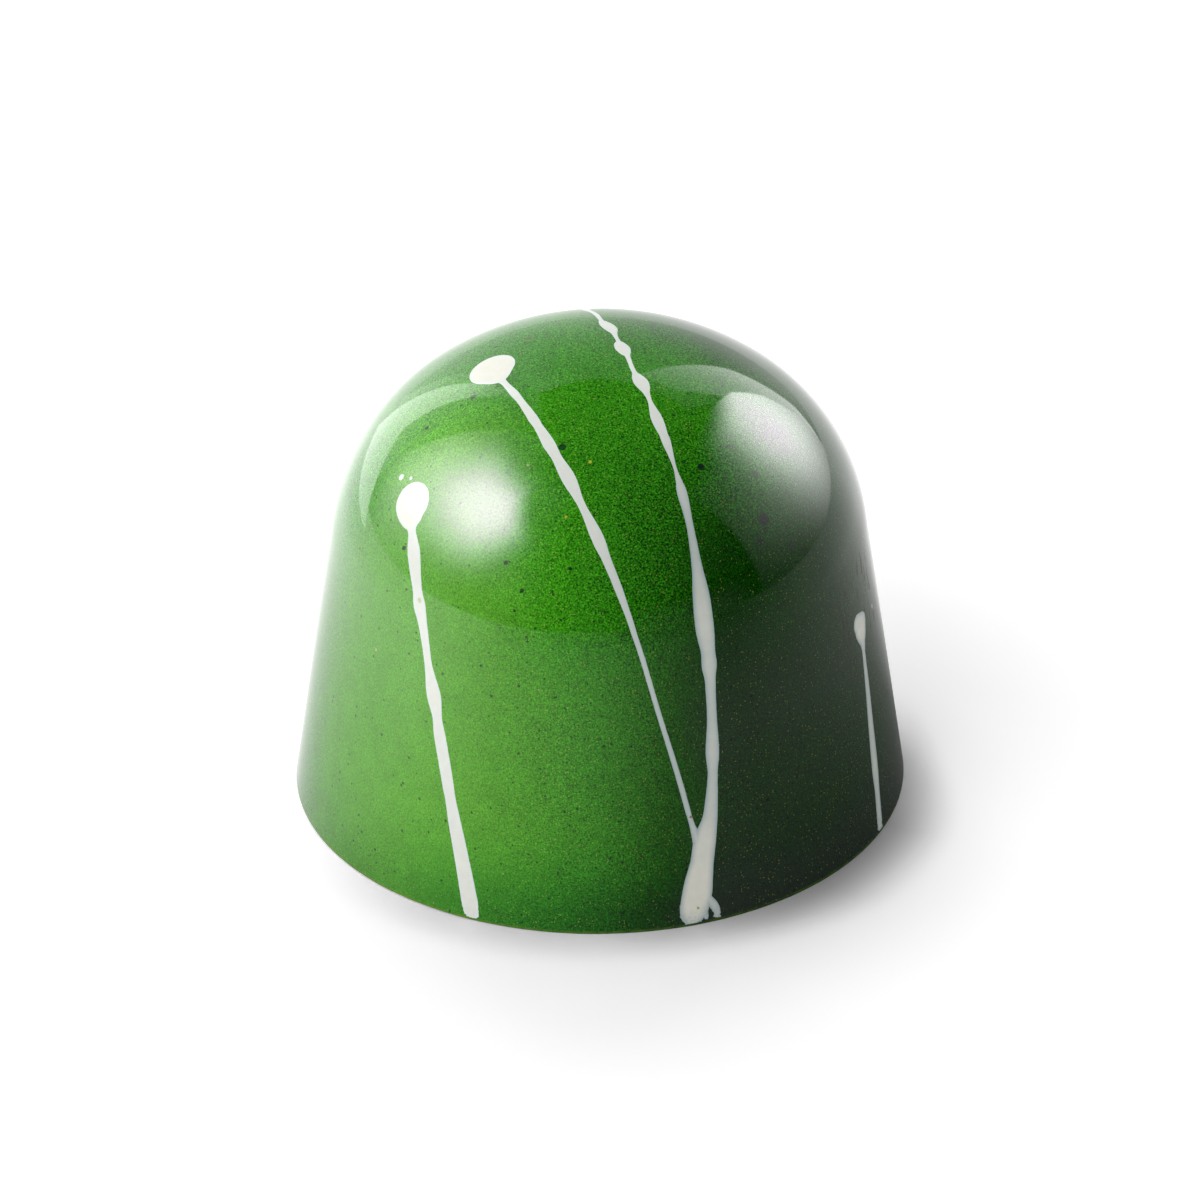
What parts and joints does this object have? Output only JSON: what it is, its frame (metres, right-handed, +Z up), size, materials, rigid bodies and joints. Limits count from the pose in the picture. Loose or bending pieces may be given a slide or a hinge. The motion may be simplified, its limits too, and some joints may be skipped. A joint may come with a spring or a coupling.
{
  "type": "chocolate bonbon",
  "caption": "Moulded chocolate bonbon: a glossy green dome on tapered walls, dark down one side, with white drips and a flat chocolate base.",
  "frame": {"origin": "middle of the flat foot, on the surface that the bonbon stands on", "axes": "+Z up through the crown, -Y towards the viewer, +X to the viewer's right, the dark side"},
  "size_m": [0.029, 0.029, 0.0228],
  "materials": {
    "green_cocoa_butter": "glossy moulded cocoa butter, green with a dark sprayed side and fine gold and dark specks",
    "chocolate": "scraped chocolate, satin",
    "white_cocoa_butter": "glossy moulded cocoa butter, off-white, thin and bluish at its edges"
  },
  "bodies": {
    "root": {"dome": "green_cocoa_butter", "base": "chocolate"}
  },
  "joints": []
}
